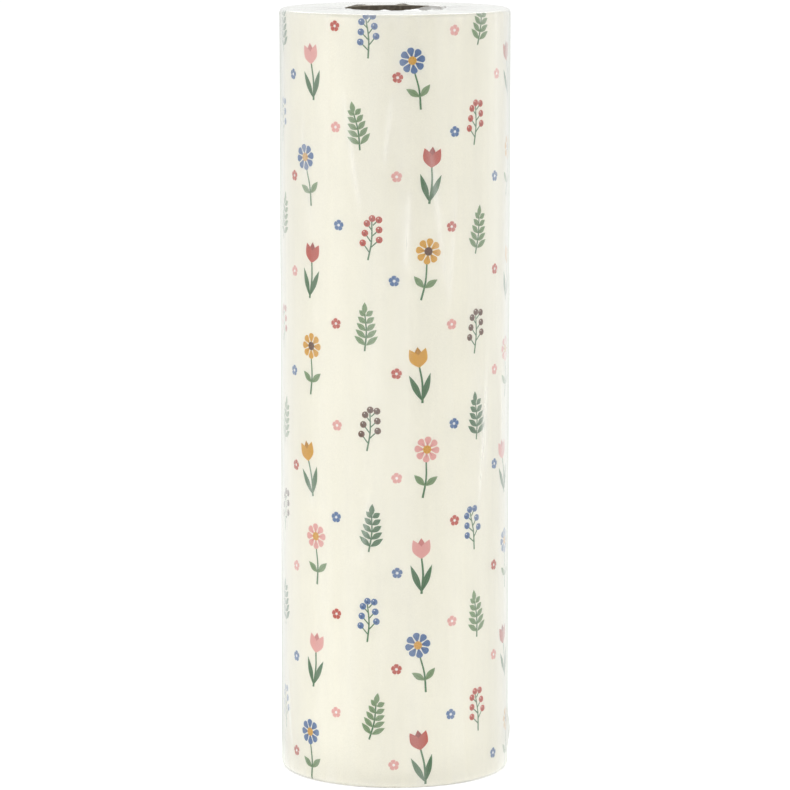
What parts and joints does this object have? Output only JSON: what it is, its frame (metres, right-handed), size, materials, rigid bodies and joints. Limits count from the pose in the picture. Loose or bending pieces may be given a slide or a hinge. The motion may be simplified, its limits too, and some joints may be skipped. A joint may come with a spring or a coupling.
{
  "type": "wrapping paper roll",
  "caption": "Printed gift-wrap paper wound on a cardboard core, tail taped down, closed in clear shrink film with a round hole at each end of the bore.",
  "frame": {"origin": "centre of the lower end, on the surface that the roll stands on", "axes": "+Z along the roll's axis, upwards; -Y is the front; the paper's tail and the film's weld are on the +Y side"},
  "size_m": [0.09, 0.09, 0.3],
  "materials": {
    "core_board": "matte kraft board",
    "printed_paper": "smooth uncoated paper",
    "paper_edges": "cut paper edges",
    "clear_tape": "clear film tape",
    "double_tape": "double-sided tape",
    "shrink_film": "clear glossy shrink film"
  },
  "bodies": {
    "root": {"core_inner_ply": "core_board", "core_middle_ply": "core_board", "core_outer_ply": "core_board", "core_start_tape": "double_tape", "paper_wound_turns": "paper_edges", "paper_last_turn": "printed_paper", "tail_tape": "clear_tape", "shrink_film": "shrink_film"}
  },
  "joints": []
}
